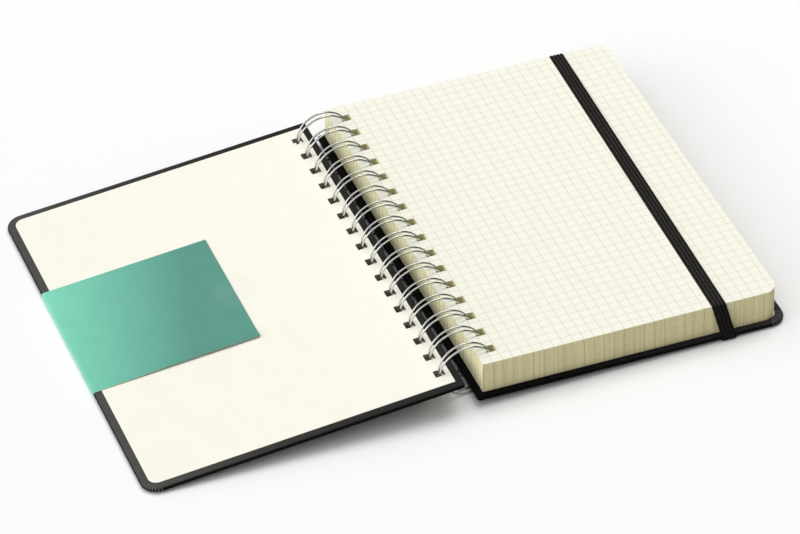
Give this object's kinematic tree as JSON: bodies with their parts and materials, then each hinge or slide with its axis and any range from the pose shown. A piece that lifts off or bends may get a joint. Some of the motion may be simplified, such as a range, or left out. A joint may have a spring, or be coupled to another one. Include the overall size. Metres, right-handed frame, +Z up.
{
  "type": "spiral notebook",
  "caption": "Wire-bound A5 notebook lying open, with squared pages, hard leatherette covers, an elastic closing band and a folded paper band on the front cover.",
  "frame": {"origin": "middle of the bounding box, at its lowest point, on the table", "axes": "+X from the open front cover to the page block, +Y towards the head of the pages, +Z up"},
  "size_m": [0.3164, 0.2178, 0.0276],
  "materials": {
    "page_paper": "uncoated cream paper with a fine grey square grid",
    "steel_wire": "bright plated steel wire",
    "elastic": "flat ribbed woven elastic",
    "board": "grey board",
    "leatherette": "fine-grained matt leatherette",
    "endpaper": "plain cream endpaper",
    "teal_paper": "smooth coloured paper",
    "clear_film": "clear adhesive film"
  },
  "bodies": {
    "block": {"page_block": "page_paper", "back_board": "board", "back_wrap": "leatherette", "back_endpaper": "endpaper", "elastic_band": "elastic"},
    "wire": {"wire_comb": "steel_wire"},
    "front_cover": {"front_board": "board", "front_wrap": "leatherette", "front_endpaper": "endpaper", "paper_band": "teal_paper", "round_seal": "clear_film"}
  },
  "joints": [
    {"name": "wire_turn", "type": "hinge", "parent": "block", "child": "wire", "pos_m": [0.00199, 0, 0.0138], "axis": [0, 1, 0], "range_deg": [-90, 131.9]},
    {"name": "cover_swing", "type": "hinge", "parent": "wire", "child": "front_cover", "pos_m": [-0.01131, 0, 0.01405], "axis": [0, 1, 0], "range_deg": [-36.5, 53.45]}
  ],
  "couplings": [
    {"joint": "cover_swing", "follows": "wire_turn", "ratio": 0.40483}
  ]
}
